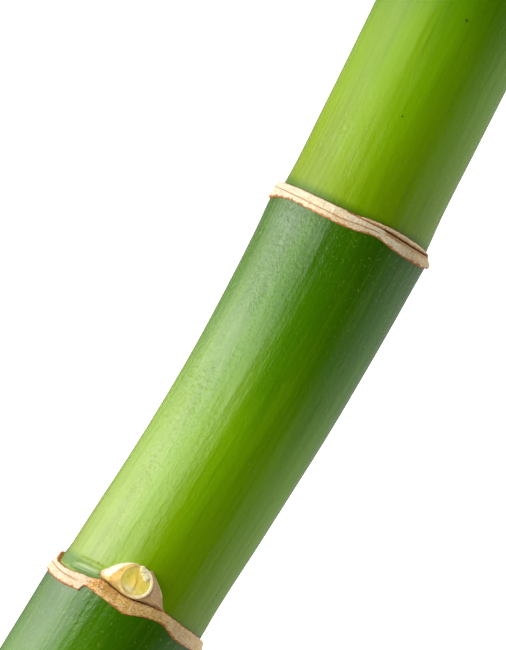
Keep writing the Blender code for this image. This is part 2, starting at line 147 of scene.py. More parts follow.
# The bud scale and the branch stub, at the lower node: mm across the cane and along it
BUD_ACROSS = -1.0 * MM
BUD_ALONG = 6.65 * MM
BUD_HEIGHT = 4.3 * MM
RIM_ACROSS = 4.1 * MM
RIM_ALONG = 4.1 * MM
RIM_WIDTH = 0.85 * MM
NARROW_RIM = 0.4
SCALE_ROOT = 1.2 * MM
SCALE_COLUMNS = 260
SCALE_FOOT = (
    (9.0, 3.95), (8.0, 4.65), (7.3, 5.5), (5.7, 7.4), (4.4, 8.5), (3.2, 9.4), (1.9, 10.3), (0.9, 11.0),
    (0.2, 10.6), (-0.5, 10.72), (-1.5, 10.85), (-2.8, 10.65), (-4.0, 10.25), (-5.2, 9.65), (-6.1, 9.05),
    (-7.0, 8.3), (-8.0, 7.2), (-8.9, 5.85), (-9.6, 4.8), (-10.0, 3.7), (-9.6, 2.75), (-8.6, 2.3),
    (-6.8, 2.22), (-4.9, 2.12), (-2.1, 1.98), (-0.6, 2.12), (0.65, 2.42), (2.5, 2.95), (4.0, 3.25),
    (5.6, 3.55), (7.1, 3.8),
)

# Rise of the scale's +Y flank: share of the way from its foot to its rim, and share of the height there
RIDGE_SHARE = 0.3
RIDGE_PROFILE = (
    (0.0, 0.0), (0.1, 0.2), (0.2, 0.4), (RIDGE_SHARE, 0.56), (0.36, 0.6), (0.5, 0.68), (0.7, 0.8),
    (0.88, 0.93), (1.0, 1.0),
)
# The scale's rim: share of RIM_WIDTH inwards, and mm over the scale's top
RIM_PROFILE = (
    (0.06, 0.07), (0.2, 0.13), (0.45, 0.15), (0.7, 0.1), (0.88, 0.03), (0.97, -0.03), (1.0, -0.15),
    (1.05, -1.2),
)
# The core: how far its +Y edge spreads, as a share of its radius, and rises, in mm
CORE_SPREAD = 0.12
CORE_RAISED = 0.07
# The core's profile: share of its radius outwards, and mm below the scale's top
CORE_PROFILE = (
    (0.03, 0.16), (0.12, 0.16), (0.24, 0.17), (0.36, 0.18), (0.48, 0.19), (0.6, 0.2), (0.7, 0.19),
    (0.8, 0.16), (0.88, 0.11), (0.94, 0.08), (0.99, 0.08), (1.03, 0.14), (1.04, 1.6),
)
# The torn chip: mm across the cane and along it, half its width and half its height
CHIP_LINE = (
    (-2.05, 10.8, 0.2, 0.1), (-1.7, 10.5, 0.5, 0.24), (-1.0, 9.9, 0.66, 0.26), (-0.1, 9.2, 0.76, 0.26),
    (0.7, 8.6, 0.66, 0.26), (0.85, 8.1, 0.4, 0.22), (0.8, 7.75, 0.2, 0.1),
)

# Colour of the skin at shares of the way up an internode
SKIN_COLOURS = (
    (0.0, (0.165, 0.315, 0.001)), (0.18, (0.172, 0.352, 0.0005)), (0.32, (0.161, 0.356, 0.0005)),
    (0.45, (0.142, 0.33, 0.0005)), (0.59, (0.095, 0.258, 0.0005)), (0.72, (0.064, 0.204, 0.0005)),
    (0.86, (0.049, 0.168, 0.0005)), (1.0, (0.034, 0.125, 0.001)),
)
# Colour of the cut wood at shares of the way from the skin to the hollow
WOOD_COLOURS = (
    (0.0, (0.12, 0.2, 0.03)), (0.08, (0.42, 0.45, 0.18)), (0.4, (0.62, 0.56, 0.3)),
    (1.0, (0.72, 0.65, 0.42)),
)

# The glowing wall: its radius, its strength at degrees from straight up towards +Y,
# and a factor at metres along it
WALL_RADIUS = 0.6
WALL_GLOW_ROUND = (
    (10, 0.0), (16, 0.0), (21, 0.08), (25, 0.55), (29, 1.0), (36, 1.3), (44, 1.6), (52, 1.95), (68, 2.75),
    (80, 3.0), (87, 2.9), (97, 2.3), (109, 1.7), (122, 0.95), (139, 0.43), (150, 0.3),
)
WALL_GLOW_ALONG = (
    (-0.8, 1.0), (-0.2, 1.6), (-0.085, 1.95), (-0.06, 2.4), (-0.035, 2.05), (-0.014, 1.15), (0.005, 0.66),
    (0.024, 0.38), (0.035, 0.45), (0.05, 0.98), (0.065, 0.78), (0.08, 0.6), (0.2, 0.6), (0.8, 1.0),
)
# Degrees by which the wall's upper edge hangs lower, at metres along it
WALL_EDGE_SHIFT = (
    (-0.8, 16.0), (-0.1, 16.0), (-0.085, 0.0), (-0.03, -4.0), (-0.014, 1.0), (0.004, 6.0), (0.028, 12.0),
    (0.05, 10.0), (0.08, 9.0), (0.8, 9.0),
)
# The fill light: degrees from straight up towards +Y, metres from the ground below the cane's middle,
# which keeps it inside the wall, its side in metres, and watts
FILL_TILT = 24.0
FILL_DISTANCE = 0.55
FILL_SIZE = 0.3
FILL_POWER = 1.68
# Brightness of the room at heights of the direction looked in, from -1, straight down, to 1, straight up
WORLD_GLOW = ((-1.0, 0.3), (-0.55, 0.58), (-0.12, 0.6), (0.2, 0.36), (0.42, 0.18), (0.52, 0.1), (0.58, 0.0))

# The photograph's frame, and where it shows the middles of the two nodes, in its pixels
PHOTO_WIDTH = 506
PHOTO_HEIGHT = 650
LOWER_NODE_PIXEL = (126.6, 604.36)
UPPER_NODE_PIXEL = (352.2, 223.7)
LENS = 600.0
SENSOR = 36.0


def curve_through(knots, x):
    """Values at x, an array, of the smooth curve through the knots, a sorted list of (x, value)."""
    xs, ys = np.array(knots, float).T
    slopes = np.empty_like(ys)
    slopes[0] = (ys[1] - ys[0]) / (xs[1] - xs[0])
    slopes[-1] = (ys[-1] - ys[-2]) / (xs[-1] - xs[-2])
    slopes[1:-1] = (ys[2:] - ys[:-2]) / (xs[2:] - xs[:-2])
    i = np.clip(np.searchsorted(xs, x, side="right") - 1, 0, len(xs) - 2)
    width = xs[i + 1] - xs[i]
    t = (x - xs[i]) / width
    return (
        ys[i] * (2 * t**3 - 3 * t**2 + 1)
        + slopes[i] * width * (t**3 - 2 * t**2 + t)
        + ys[i + 1] * (3 * t**2 - 2 * t**3)
        + slopes[i + 1] * width * (t**3 - t**2)
    )


def round_the_cane(knots, degrees):
    """Values at angles of the closed smooth curve through (degrees, mm) knots, in metres."""
    turns = [(a + 360 * k, value * MM) for k in (-1, 0, 1) for a, value in knots]
    return curve_through(turns, (np.asarray(degrees) + 180) % 360 - 180)


def ease(low, high, x):
    """0 on low's side, 1 on high's, and a smooth way between them. High may be the smaller one."""
    t = np.clip((x - low) / (high - low), 0, 1)
    return t * t * (3 - 2 * t)


def plateau(x, rise, risen, fall, fallen):
    """0, then 1 between risen and fall, then 0 again past fallen."""
    return ease(rise, risen, x) * (1 - ease(fall, fallen, x))


def bell(x, centre, width):
    return np.exp(-(((x - centre) / width) ** 2))


def ripple(seed, coordinates, sizes, waves=16):
    """Smooth noise, about -1 to 1: waves of random direction, about as long as the sizes given."""
    draw = np.random.default_rng(seed)
    total = 0
    for _ in range(waves):
        turn = draw.normal(size=len(sizes))
        phase = draw.uniform(0, 2 * math.pi)
        travel = sum(c * k / size for c, k, size in zip(coordinates, turn, sizes))
        total = total + np.sin(travel * 5 + phase)
    return total / math.sqrt(waves)


def culm_radius(along):
    """Outer radius of the bare culm."""
    below_upper = np.where(along < LOWER_NODE, LOWER_NODE - INTERNODE, LOWER_NODE)
    above = (along - np.where(along < UPPER_NODE, below_upper, UPPER_NODE)) / MM
    lower = curve_through(INTERNODE_RADIUS, above)
    return np.where(along < UPPER_NODE, lower, curve_through(UPPER_INTERNODE_RADIUS, above)) * MM


def internode_share(along):
    """0 just above a node, growing to 1 just below the next one."""
    return (along / INTERNODE) % 1.0


def waved(along, degrees, node, low_knots, high_knots):
    """Moves a level line near a node as the collar's wavy edges run."""
    offset = along - node
    low = round_the_cane(low_knots, degrees)
    high = round_the_cane(high_knots, degrees)
    inside = node + (low + high) / 2 + offset / COLLAR_HALF * (high - low) / 2
    fade = 1 - ease(COLLAR_HALF, WAVE_REACH, np.abs(offset))
    outside = along + fade * np.where(offset > 0, high - COLLAR_HALF, low + COLLAR_HALF)
    return np.where(np.abs(offset) <= COLLAR_HALF, inside, outside)


def laid(along, across, up):
    """Points of the straight cane once it lies, bent as it grew, on its collars."""
    step = 0.5 * MM
    side, ahead = (curve_through(BEND, place / MM) * MM for place in (along, along + step))
    turn = np.arctan2(ahead - side, step)
    x = along - across * np.sin(turn)
    y = -side - across * np.cos(turn)
    return np.stack([x, y, AXIS_HEIGHT + up * FLATTENING], axis=-1)


def round_axis(degrees, radius):
    """Distance across and height of points at an angle round the straight axis."""
    turn = np.radians(degrees)
    return radius * np.sin(turn), radius * np.cos(turn)


def add_object(name, data):
    thing = bpy.data.objects.new(name, data)
    bpy.context.scene.collection.objects.link(thing)
    return thing


def set_tone(mesh, name, values):
    """Keeps one number, or one vector, per point of a mesh for its materials to read."""
    kind, field = ("FLOAT_VECTOR", "vector") if values.ndim == 3 else ("FLOAT", "value")
    mesh.attributes.new(name, kind, "POINT").data.foreach_set(field, values.astype(np.float32).ravel())


def make_piece(name, points, materials, tones, closed=False, caps=(False, False), row_materials=None):
    """A mesh over rows of points that go round.

    Closed joins the last row to the first, and caps fill the first and the last row.
    """
    rows, columns = points.shape[:2]
    index = np.arange(rows * columns).reshape(rows, columns)
    ahead = np.roll(index, -1, axis=1)
    spans = rows if closed else rows - 1
    after = np.roll(index, -1, axis=0)
    ahead_after = np.roll(ahead, -1, axis=0)
    quads = np.stack([index, after, ahead_after, ahead], axis=-1)[:spans].reshape(-1, 4).tolist()
    if caps[0]:
        quads.append(index[0].tolist())
    if caps[1]:
        quads.append(index[-1][::-1].tolist())
    mesh = bpy.data.meshes.new(name)
    mesh.from_pydata(points.reshape(-1, 3), [], quads)
    for tone, values in tones.items():
        set_tone(mesh, tone, values)
    for material in materials:
        mesh.materials.append(material)
    if row_materials is not None:
        slots = np.repeat(np.asarray(row_materials)[:spans], columns)
        for face, slot in zip(mesh.polygons, slots):
            face.material_index = int(slot)
    mesh.shade_smooth()
    mesh.update()
    return add_object(name, mesh)


def straight_place(across, up, along):
    """The straight cane's coordinates in mm, which the materials' patterns follow."""
    return np.stack(np.broadcast_arrays(across, up, along), axis=-1) / MM


class Material:
    """A procedural material: a Principled shader, and short helpers that add the nodes before it."""

    def __init__(self, name, **settings):
        self.data = bpy.data.materials.new(name)
        self.data.use_nodes = True
        self.tree = self.data.node_tree
        self.shader = self.tree.nodes["Principled BSDF"]
        for socket, value in settings.items():
            self.shader.inputs[socket.replace("_", " ")].default_value = value

    def add(self, kind, inputs=(), **settings):
        node = self.tree.nodes.new(kind)
        for setting, value in settings.items():
            setattr(node, setting, value)
        for socket, value in dict(inputs).items():
            self.feed(node.inputs[socket], value)
        return node

    def feed(self, socket, value):
        if isinstance(value, bpy.types.NodeSocket):
            self.tree.links.new(value, socket)
        else:
            socket.default_value = value

    def tone(self, name):
        return self.add("ShaderNodeAttribute", attribute_name=name).outputs["Fac"]

    def place(self, factors=(1, 1, 1), name="straight"):
        """The piece's own coordinates, each times its factor."""
        vector = self.add("ShaderNodeAttribute", attribute_name=name).outputs["Vector"]
        scaled = self.add("ShaderNodeVectorMath", {0: vector, 1: factors}, operation="MULTIPLY")
        return scaled.outputs[0]

    def noise(self, factors, scale, detail=3.0, roughness=0.55, on="straight"):
        vector = self.place(factors, on)
        inputs = {"Vector": vector, "Scale": scale, "Detail": detail, "Roughness": roughness}
        return self.add("ShaderNodeTexNoise", inputs).outputs[0]

    def sum(self, first, second):
        return self.add("ShaderNodeMath", {0: first, 1: second}, operation="ADD").outputs[0]

    def times(self, first, second):
        return self.add("ShaderNodeMath", {0: first, 1: second}, operation="MULTIPLY").outputs[0]

    def between(self, value, low, high, out_low=0.0, out_high=1.0):
        """Value taken smoothly from the range low to high into the range out_low to out_high."""
        inputs = {"Value": value, "From Min": low, "From Max": high, "To Min": out_low, "To Max": out_high}
        return self.add("ShaderNodeMapRange", inputs, interpolation_type="SMOOTHSTEP").outputs[0]

    def ramp(self, value, stops):
        """Colour that follows a value through (place, colour) stops."""
        node = self.add("ShaderNodeValToRGB", {0: value})
        node.color_ramp.interpolation = "CARDINAL"
        while len(node.color_ramp.elements) < len(stops):
            node.color_ramp.elements.new(1.0)
        for element, (place, colour) in zip(node.color_ramp.elements, stops):
            element.position = place
            element.color = (*colour, 1)
        return node.outputs[0]

    def mix(self, amount, first, second, blend="MIX"):
        inputs = {0: amount, 6: self.colour(first), 7: self.colour(second)}
        return self.add("ShaderNodeMix", inputs, data_type="RGBA", blend_type=blend).outputs[2]

    def layered(self, colour, *layers):
        """A colour with layers of (amount, colour), or (amount, colour, blend), laid over it in turn."""
        for amount, tint, *blend in layers:
            colour = self.mix(amount, colour, tint, *blend)
        return colour

    def colour(self, value):
        return value if isinstance(value, bpy.types.NodeSocket) else (*value, 1)

    def cells(self, factors, scale):
        """Scattered points: the distance to the nearest one, and a random value of its own."""
        node = self.add("ShaderNodeTexVoronoi", {"Vector": self.place(factors), "Scale": scale})
        return node.outputs["Distance"], node.outputs["Color"]

    def bump(self, height, distance, strength=1.0):
        inputs = {"Height": height, "Distance": distance, "Strength": strength}
        return self.add("ShaderNodeBump", inputs).outputs[0]

    def near(self, spot, radius):
        """1 within a radius of a spot, in the straight cane's mm, and fading to 0 just outside it."""
        node = self.add("ShaderNodeVectorMath", {0: self.place(), 1: spot}, operation="DISTANCE")
        return self.between(node.outputs["Value"], radius * 0.5, radius * 1.3, 1.0, 0.0)

    def finish(self, colour, bump, roughness=None):
        self.feed(self.shader.inputs["Base Color"], colour)
        self.feed(self.shader.inputs["Normal"], bump)
        if roughness is not None:
            self.feed(self.shader.inputs["Roughness"], roughness)
        return self.data


def shaded(colour, factor):
    """A colour times a factor, kept below white."""
    return tuple(min(factor * part, 0.9) for part in colour)


def green_skin():
    """The culm's skin: yellow-green at an internode's foot and dark under the next ring, with streaks."""
    skin = Material("green_skin", IOR=1.5, Specular_IOR_Level=0.5)
    tone, between, times = skin.tone, skin.between, skin.times
    patches = skin.noise((1, 1, 0.12), 0.16, 2.0)
    share = skin.sum(tone("share"), between(patches, 0.3, 0.7, -0.05, 0.05))
    fibres = skin.noise((1, 1, 0.03), 0.9, 3.0, 0.5)
    pores = skin.noise((1, 1, 0.45), 1.9, 3.0, 0.55)
    gap, chance = skin.cells((1, 1, 0.6), 0.42)
    speck = times(between(gap, 0.03, 0.075, 0.6, 0.0), between(chance, 0.62, 0.66))
    gap, chance = skin.cells((1, 1, 0.8), 0.9)
    chosen = times(between(chance, 0.6, 0.64), between(share, 0.82, 0.97, 0.0, 0.5))
    dot = times(between(gap, 0.1, 0.22, 1.0, 0.0), chosen)
    ragged = between(pores, 0.3, 0.7, 0.5, 1.0)
    colour = skin.layered(
        skin.ramp(share, SKIN_COLOURS),
        # Painted light: the +Y side, which faces the glowing wall, is painted brighter and yellower.
        (tone("painted_lit_side"), (1.25, 1.02, 1.0), "MULTIPLY"),
        # Painted shade: the farthest +Y side of the skin is darkened.
        (tone("far"), (0.84, 0.76, 0.9), "MULTIPLY"),
        # Painted shade: the -Y side, away from the glowing wall, is darkened.
        (tone("shade"), (0.8, 0.75, 0.9), "MULTIPLY"),
        (between(fibres, 0.5, 0.8, 0.0, 0.22), (0.19, 0.33, 0.003)),
        (between(fibres, 0.5, 0.25, 0.0, 0.22), (0.03, 0.1, 0.001)),
        (between(pores, 0.58, 0.72, 0.0, 0.2), (0.3, 0.42, 0.04)),
        (speck, (0.4, 0.5, 0.16)),
        (dot, (0.2, 0.36, 0.06)),
        # A darker green band 2 to 5 mm above each node: painted shade where the skin dips just above the
        # collar, over some darker green of the skin's own.
        (times(between(tone("above"), 2.0, 5.0, 1.0, 0.0), 0.7), (0.04, 0.13, 0.004)),
        *((times(skin.near(spot, radius), ragged), (0.03, 0.045, 0.008)) for spot, radius in DARK_SPOTS),
        (times(tone("pale"), 0.6), (0.4, 0.48, 0.2)),
        # Brown grime and painted contact shadow along the collars' upper edges and under the bud scale.
        (tone("grime_and_contact_shade"), (0.15, 0.07, 0.02)),
    )
    roughness = between(skin.noise((1, 1, 0.2), 0.9, 4.0, 0.6), 0.35, 0.65, 0.09, 0.16)
    flutes = skin.noise((1, 1, 0.05), 0.4, 3.0, 0.5)
    peel = skin.noise((1, 1, 0.6), 0.9, 3.0, 0.6)
    rough_places = between(skin.noise((1, 1, 0.2), 0.2, 2.0), 0.42, 0.62, 0.25, 1.3)
    fine = times(skin.sum(times(pores, 0.55), times(peel, rough_places)), 0.75)
    relief = skin.sum(times(flutes, 1.1), skin.sum(times(fibres, 0.45), fine))
    return skin.finish(colour, skin.bump(relief, 0.14 * MM, 0.8), roughness)


def cut_wood():
    """The sawn end: pale wood with the dark ends of its fibre bundles, which are darker towards the skin."""
    wood = Material("cut_wood", Roughness=0.7)
    depth = wood.tone("depth")
    colour = wood.ramp(depth, WOOD_COLOURS)
    gap, _ = wood.cells((1, 1, 0), 1.5)
    dot = wood.between(gap, 0.16, 0.34, 1.0, 0.0)
    colour = wood.mix(wood.times(dot, wood.between(depth, 0.0, 1.0, 0.8, 0.45)), colour, (0.26, 0.19, 0.07))
    saw = wood.noise((0.3, 3, 1), 1.6, 3.0)
    colour = wood.mix(wood.between(saw, 0.4, 0.7, 0.0, 0.2), colour, (0.5, 0.42, 0.22))
    return wood.finish(colour, wood.bump(wood.sum(saw, dot), 0.06 * MM, 0.5))


def hollow_wall():
    """The inside of the culm: a thin pale lining with faint lengthwise ribs."""
    wall = Material("hollow_wall", Roughness=0.65)
    ribs = wall.noise((1, 1, 0.04), 1.1, 3.0)
    blotches = wall.noise((1, 1, 1), 0.25, 3.0)
    colour = wall.mix(wall.between(ribs, 0.35, 0.7), (0.62, 0.56, 0.36), (0.74, 0.68, 0.5))
    colour = wall.mix(wall.between(blotches, 0.45, 0.75, 0.0, 0.4), colour, (0.46, 0.37, 0.2))
    return wall.finish(colour, wall.bump(ribs, 0.1 * MM, 0.6))


def dry_sheath(name, pale, tan, rim):
    """The dead base of a sheath: fibrous and grainy, with orange-brown torn edges and brown creases, the deep
    slit painted near-black as painted shade.
    """
    dry = Material(name, Roughness=0.75, Specular_IOR_Level=0.25)
    tone, between, times = dry.tone, dry.between, dry.times
    grain = dry.noise((1, 1, 1.2), 2.1, 4.0, 0.75)
    layers = dry.noise((0.25, 0.25, 2.2), 1.1, 4.0, 0.65)
    blotches = dry.noise((1, 1, 1.4), 0.45, 3.0)
    ragged = dry.noise((0.6, 0.6, 0.6), 1.6, 4.0, 0.7)
    edge = dry.sum(tone("edge"), between(ragged, 0.35, 0.65, -0.22, 0.22))
    colour = dry.layered(
        dry.mix(dry.sum(tone("tan"), between(blotches, 0.3, 0.7, -0.2, 0.2)), pale, tan),
        (between(layers, 0.5, 0.72, 0.0, 0.4), shaded(tan, 0.6)),
        (between(layers, 0.48, 0.3, 0.0, 0.35), shaded(pale, 1.1)),
        (times(between(grain, 0.5, 0.62), between(tone("tan"), 0.1, 0.8, 0.35, 0.6)), shaded(tan, 0.4)),
        (times(between(grain, 0.48, 0.38), between(tone("tan"), 0.1, 0.8, 0.4, 0.75)), shaded(pale, 1.1)),
        (times(tone("tear"), between(grain, 0.4, 0.58)), rim),
        (between(edge, 0.2, 0.58, 1.0, 0.0), rim),
        (between(tone("crease"), 0.05, 0.5), shaded(rim, 0.8)),
        # Painted shade: the deepest crease, the slit, is painted near-black red-brown.
        (between(tone("crease"), 0.55, 1.0), (0.13, 0.04, 0.01)),
        # Painted shade: the collars' +Y side is darkened.
        (tone("far"), (0.72, 0.69, 0.76), "MULTIPLY"),
        (tone("brown"), (0.62, 0.5, 0.34), "MULTIPLY"),
    )
    return dry.finish(colour, dry.bump(dry.sum(grain, layers), 0.3 * MM))


def bud_tan():
    """The bud scale: orange-tan by the cut, greyer on its -Y flank, with cream edges and fine ribs, and a
    near-white +Y flank that is partly painted highlight.
    """
    tan = Material("bud_tan", Roughness=0.6, Specular_IOR_Level=0.25)
    tone, between, times = tan.tone, tan.between, tan.times
    ribs = tan.noise((1, 1, 1), 1.3, 4.0, 0.65, "bud")
    grain = tan.noise((1, 1, 1), 2.6, 4.0, 0.75)
    clouds = tan.noise((1, 1, 1), 0.5, 3.0)
    speckle = between(tone("grey"), 0.0, 1.0, 0.45, 0.8)
    colour = tan.layered(
        tan.mix(between(ribs, 0.35, 0.7), (0.5, 0.3, 0.05), (0.62, 0.4, 0.1)),
        (between(clouds, 0.5, 0.7, 0.0, 0.5), (0.42, 0.25, 0.03)),
        (tone("grey"), (0.68, 0.43, 0.2)),
        # Painted highlight: the steep +Y flank, which faces the glowing wall, is coloured near-white, over
        # the cream of that face.
        (tone("flank"), (0.82, 0.7, 0.53)),
        (tone("cream"), (0.97, 0.82, 0.47)),
        (times(between(grain, 0.52, 0.7), speckle), (0.34, 0.19, 0.07)),
        (times(between(grain, 0.47, 0.34), speckle), (0.84, 0.66, 0.42)),
        (between(ribs, 0.46, 0.3, 0.0, 0.35), (0.36, 0.2, 0.07)),
        (times(tone("torn"), between(grain, 0.42, 0.56)), (0.34, 0.12, 0.04)),
        (times(tone("olive"), between(grain, 0.35, 0.6)), (0.3, 0.2, 0.02)),
        # The dark foot: painted shade with brown grime where the scale's front meets the collar, and a brown
        # line just below the rim on its -Y side.
        (tone("foot"), (0.16, 0.07, 0.015)),
    )
    return tan.finish(colour, tan.bump(tan.sum(ribs, grain), 0.14 * MM))


def waxy_core():
    """The cut core of the branch: waxy yellow with paler and greener clouds, browner towards its edge."""
    core = Material("waxy_core", Roughness=0.42)
    cloud = core.noise((1, 1, 1), 0.42, 3.0, 0.5)
    patch = core.noise((1, 1.3, 1), 0.8, 3.0, 0.55)
    grain = core.noise((1, 1, 1), 2.4, 3.0, 0.6)
    colour = core.layered(
        core.mix(core.tone("side"), (0.95, 0.7, 0.12), (0.7, 0.58, 0.08)),
        (core.between(cloud, 0.45, 0.65, 0.0, 0.45), (0.7, 0.62, 0.12)),
        (core.between(patch, 0.52, 0.7, 0.0, 0.35), (0.84, 0.74, 0.32)),
        (core.tone("pale"), (0.84, 0.76, 0.38)),
        (core.between(grain, 0.54, 0.72, 0.0, 0.2), (0.86, 0.78, 0.4)),
        (core.between(core.tone("out"), 0.9, 1.0, 0.0, 0.5), (0.72, 0.52, 0.16)),
        (core.tone("blend"), (0.5, 0.36, 0.07)),
    )
    return core.finish(colour, core.bump(core.times(grain, 0.5), 0.1 * MM, 0.8))


def torn_fibre():
    """The ragged chip: whitish on its outer side, towards -Y, and yellow-green towards the core; the split is
    partly painted light and shade.
    """
    fibre = Material("torn_fibre", Roughness=0.6)
    grain = fibre.noise((1, 1, 1), 2.4, 4.0, 0.75)
    colour = fibre.mix(fibre.between(grain, 0.38, 0.6), (0.72, 0.66, 0.28), (0.93, 0.86, 0.52))
    # Painted light: the chip's outer side is whitened; its yellow-green elsewhere is partly painted shade.
    colour = fibre.mix(fibre.times(fibre.tone("white"), 0.8), colour, (0.97, 0.9, 0.6))
    return fibre.finish(colour, fibre.bump(grain, 0.2 * MM, 1.0))


def culm_rows():
    """Distances along the cane of the skin's rows: close near the nodes, wider between them."""
    reached = COLLAR_HALF - SKIN_TUCK
    near = [reached]
    for end, step in ROW_STEPS:
        while reached < COLLAR_HALF + end * MM:
            reached += step * MM
            near.append(reached)
    found = [LOWER_CUT, UPPER_CUT]
    for node in (LOWER_NODE, UPPER_NODE):
        found += [node + side * distance for distance in near for side in (-1, 1)]
    for low, high in ((LOWER_CUT, LOWER_NODE), (LOWER_NODE, UPPER_NODE), (UPPER_NODE, UPPER_CUT)):
        middle = np.arange(low + near[-1] * (low > LOWER_CUT), high - near[-1] * (high < UPPER_CUT), FAR_STEP)
        found += middle[1:].tolist()
    return np.unique(np.round([s for s in found if LOWER_CUT <= s <= UPPER_CUT], 6))


def wrinkle(across, along):
    """The folded lip of skin above the lower collar, on the cane's +Y side, as height over the skin."""
    run = 2.6 * MM + 0.2 * (across + 12.5 * MM)
    reach = plateau(across, -17.0 * MM, -14.5 * MM, -10.6 * MM, -9.0 * MM)
    lip = 0.4 * MM * bell(along, run, 0.6 * MM) + 0.12 * MM * bell(along, run + 1.7 * MM, 0.35 * MM)
    return reach * (lip - 0.12 * MM * bell(along, run - 1.0 * MM, 0.4 * MM))


def skin_points(along, degrees):
    """The skin's straight coordinates, with its slow swellings, its fine ribs and the wrinkle."""
    radius = culm_radius(along)
    low = waved(along, degrees, LOWER_NODE, LOWER_LOW, LOWER_HIGH)
    placed = waved(low, degrees, UPPER_NODE, UPPER_LOW, UPPER_HIGH)
    across, up = round_axis(degrees, radius)
    swell = ripple(3, (across, up, placed), (30 * MM, 30 * MM, 60 * MM)) * 0.07 * MM
    ribs = ripple(4, (across, up, placed), (3 * MM, 3 * MM, 200 * MM)) * 0.012 * MM
    top = ease(-0.2, 0.3, np.cos(np.radians(degrees)))
    radius = radius + swell + ribs + wrinkle(across, placed) * top
    across, up = round_axis(degrees, radius)
    return placed, across, up


def grime_and_contact_shade(along, degrees):
    """Brown grime and painted shade in the gap between the bud scale's foot and the collar, and a thin line
    of painted contact shadow, tinged brown, over each collar.
    """
    joint = along - LOWER_NODE - round_the_cane(LOWER_HIGH, degrees)
    under_bud = plateau(degrees, -32, -26, 24, 29)
    lines = 0.9 * bell(joint, 0.1 * MM, 0.32 * MM) * under_bud + 0.5 * bell(joint, 0.0, 0.25 * MM)
    upper = along - UPPER_NODE - round_the_cane(UPPER_HIGH, degrees)
    return np.clip(lines + 0.5 * bell(upper, 0.0, 0.3 * MM), 0, 1)


def hollow_rows():
    """(radius, along) down the inside of the culm, from its upper cut to its lower one."""
    upper_skin, lower_skin = culm_radius(np.array([UPPER_CUT, LOWER_CUT]))
    rows = [(upper_skin + (HOLLOW_RADIUS - upper_skin) * share, UPPER_CUT) for share in CUT_SHARES]
    rows += [(HOLLOW_RADIUS, UPPER_NODE + above * MM) for above in UPPER_RUN]
    for node in (UPPER_NODE, LOWER_NODE):
        corner = [(radius * MM, DIAPHRAGM_HALF + depth * MM) for depth, radius in DIAPHRAGM_CORNER]
        rows += [(radius, node + offset) for radius, offset in reversed(corner)]
        rows += [(radius, node - offset) for radius, offset in corner]
        if node == UPPER_NODE:
            rows += [(HOLLOW_RADIUS, LOWER_NODE + INTERNODE * share) for share in MIDDLE_RUN]
    rows += [(HOLLOW_RADIUS, LOWER_CUT + above * MM) for above in LOWER_RUN]
    rows += [(lower_skin + (HOLLOW_RADIUS - lower_skin) * share, LOWER_CUT) for share in reversed(CUT_SHARES)]
    return np.array(rows)


def make_culm(materials):
    degrees = np.arange(CULM_COLUMNS) * 360 / CULM_COLUMNS - 180
    along, turn = np.meshgrid(culm_rows(), degrees, indexing="ij")
    placed, across, up = skin_points(along, turn)
    inner = hollow_rows()
    inner_along = inner[:, 1:] + 0 * degrees
    inner_across, inner_up = round_axis(degrees, inner[:, :1])
    straight_along = np.vstack([placed, inner_along])
    across = np.vstack([across, inner_across])
    up = np.vstack([up, inner_up])
    radius = np.hypot(across, up)
    skin_radius = culm_radius(straight_along)
    depth = np.clip((skin_radius - radius) / (skin_radius - HOLLOW_RADIUS), 0, 1)
    side = across / radius
    above = np.where(straight_along < UPPER_NODE, straight_along - LOWER_NODE, straight_along - UPPER_NODE)
    tones = {
        "straight": straight_place(across, up, straight_along),
        "share": internode_share(np.vstack([along, inner_along])),
        "above": np.where(above < 0, 50.0, above / MM),
        "depth": depth,
        # Painted contact shadow with brown grime, along the collars' upper edges and under the bud scale.
        "grime_and_contact_shade": np.vstack([grime_and_contact_shade(placed, turn), 0 * inner_across]),
        # Painted light: 1 on the +Y side facing the glowing wall, where the skin is painted brighter and
        # yellower.
        "painted_lit_side": ease(0.1, -0.35, side),
        # Painted shade: 1 on the farthest +Y side, where the skin is painted darker.
        "far": ease(-0.4, -0.75, side),
        # Painted shade: rising across the -Y side, where the skin is painted darker.
        "shade": 0.6 * ease(0.0, 0.35, side) + 0.4 * ease(0.75, 1.0, side),
        "pale": np.vstack([wrinkle(across[: len(placed)], placed) / (0.4 * MM), 0 * inner_across]).clip(0, 1),
    }
    cut = len(CUT_SHARES)
    slots = [0] * (len(placed) - 1) + [1] * (cut + 1) + [2] * (len(inner) - 2 * cut - 1) + [1] * cut
    points = laid(straight_along, across, up)
    return make_piece("culm_grown", points, materials, tones, closed=True, row_materials=slots)


def band_rows(lines, counts):
    """Rows across a collar's band that crowd towards its lines, from the lowest line to the highest."""
    rows = []
    for low, high, count in zip(lines, lines[1:], counts):
        rows += [low + (high - low) * (1 - math.cos(math.pi * k / count)) / 2 for k in range(count)]
    return np.array([*rows, lines[-1]])


def notches(seed, degrees, size, depth):
    """A torn edge: uneven teeth of about the given size, which only cut into the edge."""
    turn = np.radians(degrees)
    spots = (COLLAR_RADIUS * np.sin(turn), COLLAR_RADIUS * np.cos(turn))
    coarse = ripple(seed, spots, (size, size), 24)
    fine = ripple(seed + 1, spots, (size / 3, size / 3), 24)
    return depth * (coarse + 0.45 * fine)


